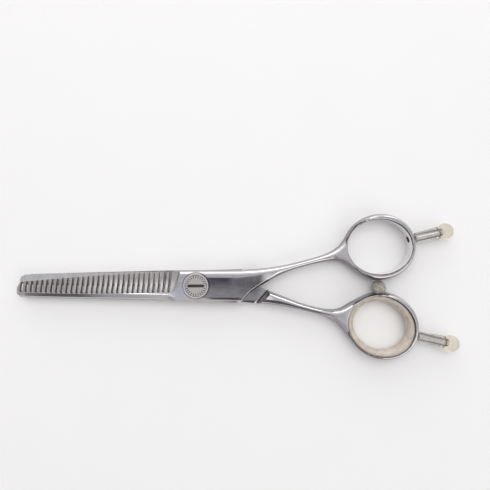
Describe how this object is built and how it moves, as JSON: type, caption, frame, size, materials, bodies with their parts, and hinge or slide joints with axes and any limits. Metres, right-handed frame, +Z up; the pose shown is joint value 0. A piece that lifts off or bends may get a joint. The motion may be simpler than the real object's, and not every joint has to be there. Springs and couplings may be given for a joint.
{
  "type": "thinning shears",
  "caption": "Hair thinning shears: a toothed comb blade and a straight blade on one tension pivot, with finger rings, a silicone ring insert, a bumper and two finger rests.",
  "frame": {"origin": "on the pivot axis, at the centre of the back nut's flat face, in the plane that the closed shears lie on", "axes": "+X from the pivot towards the finger rings, +Y towards the comb half's ring, +Z up along the pivot axis towards the tension screw's head"},
  "size_m": [0.1672, 0.0551, 0.0068],
  "materials": {
    "polished_steel": "mirror-polished stainless steel with fine scratches; the toothed face and the inner face of the blades are satin ground",
    "satin_steel": "bead-blasted stainless steel with a bright turned rim",
    "washer_steel": "spring steel strip",
    "bronze": "plain bronze washer",
    "nylon": "turned natural nylon",
    "ptfe": "white slippery washer plastic",
    "nut_steel": "turned stainless steel",
    "insert_silicone": "translucent silicone rubber, yellowed to a warm beige",
    "bumper_silicone": "translucent grey silicone rubber",
    "clear_silicone": "clear silicone rubber, slightly yellowed",
    "pin_steel": "plain bright steel pin"
  },
  "bodies": {
    "cutting_body": {"cutting_half": "polished_steel", "back_nut": "nut_steel", "thrust_washer": "ptfe", "ring_insert": "insert_silicone", "bumper": "bumper_silicone", "lower_rest_pin": "pin_steel", "lower_rest_sleeve": "clear_silicone"},
    "comb_body": {"comb_half": "polished_steel", "pivot_bushing": "nylon", "flat_washer": "bronze", "wave_washer": "washer_steel", "upper_rest_pin": "pin_steel", "upper_rest_sleeve": "clear_silicone"},
    "screw_body": {"tension_screw": "satin_steel"}
  },
  "joints": [
    {"name": "blade_pivot", "type": "hinge", "parent": "cutting_body", "child": "comb_body", "pos_m": [0, 0, 0.0033], "axis": [0, 0, 1], "range_deg": [0, 130]},
    {"name": "tension_turn", "type": "hinge", "parent": "cutting_body", "child": "screw_body", "pos_m": [0, 0, 0.0033], "axis": [0, 0, 1], "range_deg": [-90, 90]}
  ]
}
